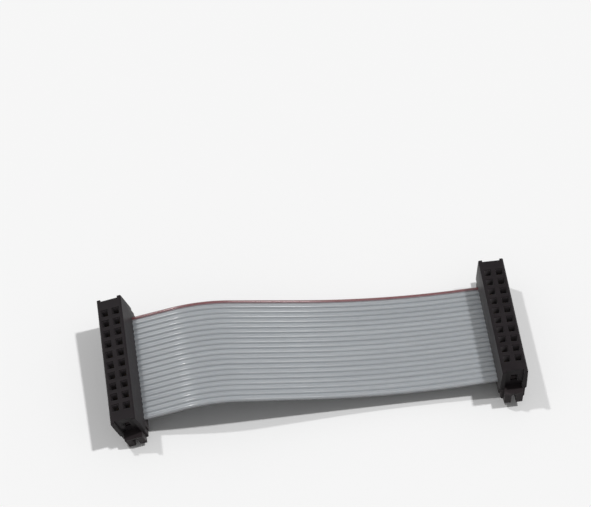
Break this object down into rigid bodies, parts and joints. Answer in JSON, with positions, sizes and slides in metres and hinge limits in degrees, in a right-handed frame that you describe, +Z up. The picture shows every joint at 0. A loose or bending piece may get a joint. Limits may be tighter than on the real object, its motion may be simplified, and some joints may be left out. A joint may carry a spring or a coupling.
{
  "type": "ribbon cable",
  "caption": "Short flat grey ribbon cable with a black two-row insulation-displacement socket pressed on at each end.",
  "frame": {"origin": "bottom centre of the whole cable, on the surface that it lies on", "axes": "+X along the cable from the left socket to the right one, +Y across the ribbon towards its red edge, +Z up"},
  "size_m": [0.09, 0.0328, 0.0128],
  "materials": {
    "body_plastic": "satin black moulded plastic",
    "cover_plastic": "satin black moulded plastic",
    "ribbon_jacket": "soft grey PVC with a low sheen and a dull red first edge",
    "contact_bronze": "stamped phosphor bronze",
    "tinned_copper": "tinned copper strand"
  },
  "bodies": {
    "root": {"left_body": "body_plastic", "left_cover": "cover_plastic", "right_body": "body_plastic", "right_cover": "cover_plastic", "ribbon_insulation": "ribbon_jacket", "ribbon_cores": "tinned_copper", "left_contact_01": "contact_bronze", "left_contact_02": "contact_bronze", "left_contact_03": "contact_bronze", "left_contact_04": "contact_bronze", "left_contact_05": "contact_bronze", "left_contact_06": "contact_bronze", "left_contact_07": "contact_bronze", "left_contact_08": "contact_bronze", "left_contact_09": "contact_bronze", "left_contact_10": "contact_bronze", "left_contact_11": "contact_bronze", "left_contact_12": "contact_bronze", "left_contact_13": "contact_bronze", "left_contact_14": "contact_bronze", "left_contact_15": "contact_bronze", "left_contact_16": "contact_bronze", "left_contact_17": "contact_bronze", "left_contact_18": "contact_bronze", "left_contact_19": "contact_bronze", "left_contact_20": "contact_bronze", "right_contact_01": "contact_bronze", "right_contact_02": "contact_bronze", "right_contact_03": "contact_bronze", "right_contact_04": "contact_bronze", "right_contact_05": "contact_bronze", "right_contact_06": "contact_bronze", "right_contact_07": "contact_bronze", "right_contact_08": "contact_bronze", "right_contact_09": "contact_bronze", "right_contact_10": "contact_bronze", "right_contact_11": "contact_bronze", "right_contact_12": "contact_bronze", "right_contact_13": "contact_bronze", "right_contact_14": "contact_bronze", "right_contact_15": "contact_bronze", "right_contact_16": "contact_bronze", "right_contact_17": "contact_bronze", "right_contact_18": "contact_bronze", "right_contact_19": "contact_bronze", "right_contact_20": "contact_bronze"}
  },
  "joints": []
}
